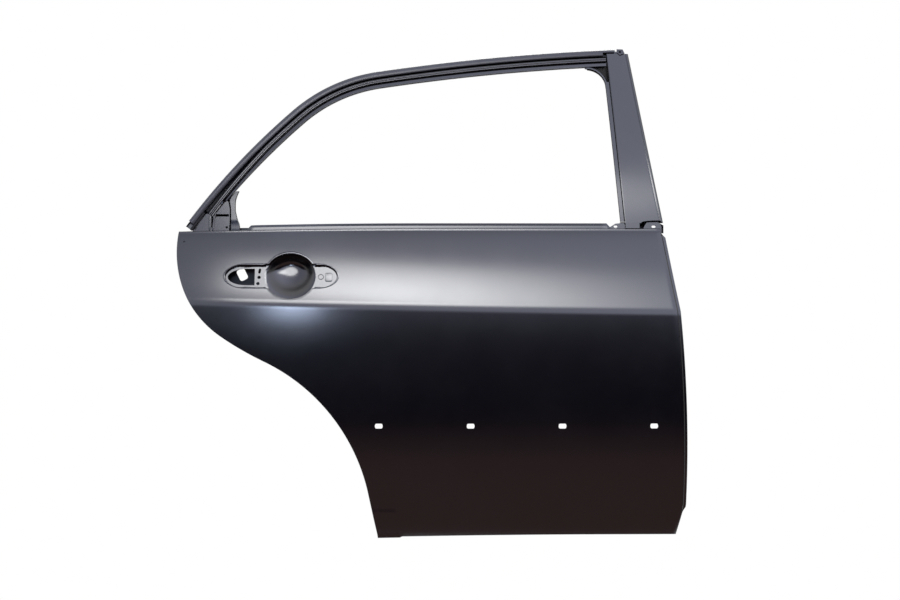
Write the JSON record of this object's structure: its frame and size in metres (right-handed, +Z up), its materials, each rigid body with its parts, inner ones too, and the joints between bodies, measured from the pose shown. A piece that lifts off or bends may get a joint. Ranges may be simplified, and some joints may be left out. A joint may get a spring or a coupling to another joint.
{
  "type": "vehicle rear door shell",
  "caption": "Bare pressed-steel rear side door shell with window frame, belt slot, handle recess, impact beam, hinge faces and latch face.",
  "frame": {"origin": "centre of the upper hinge face, on the front shut face of the inner panel", "axes": "+X toward the vehicle's front, out of the hinge faces; +Y inboard, away from the outer skin; +Z up"},
  "size_m": [1.0538, 0.2211, 1.0199],
  "materials": {
    "ecoat": "black e-coat primer, satin",
    "ecoat_outer": "black e-coat primer, satin, smooth outer sheet",
    "frame_coat": "black e-coat primer, satin, light sheen",
    "plate": "black e-coat primer on thick plate",
    "rubber": "black, matt",
    "beam": "black e-coat primer on tube"
  },
  "bodies": {
    "root": {"outer_skin": "ecoat_outer", "handle_cup": "ecoat_outer", "shut_wall": "ecoat", "inner_face": "ecoat", "header_rail": "frame_coat", "header_channel": "frame_coat", "header_run": "frame_coat", "header_moulding": "frame_coat", "moulding_end_block": "rubber", "quarter_bracket": "frame_coat", "quarter_channel": "frame_coat", "sash_plate": "frame_coat", "sash_channel": "frame_coat", "sash_rail": "frame_coat", "corner_run": "frame_coat", "header_end_bracket": "frame_coat", "belt_end_bracket": "frame_coat", "sash_foot_bracket": "frame_coat", "shoulder_gusset": "frame_coat", "belt_rail_outer": "ecoat", "belt_rail_inner": "ecoat", "upper_hinge_plate": "plate", "lower_hinge_plate": "plate", "check_strap_plate": "plate", "latch_plate": "plate", "impact_beam": "beam", "beam_bracket_front": "plate", "beam_bracket_rear": "plate", "front_glass_guide": "ecoat", "rear_glass_guide": "ecoat", "handle_stiffener": "ecoat"}
  },
  "joints": []
}
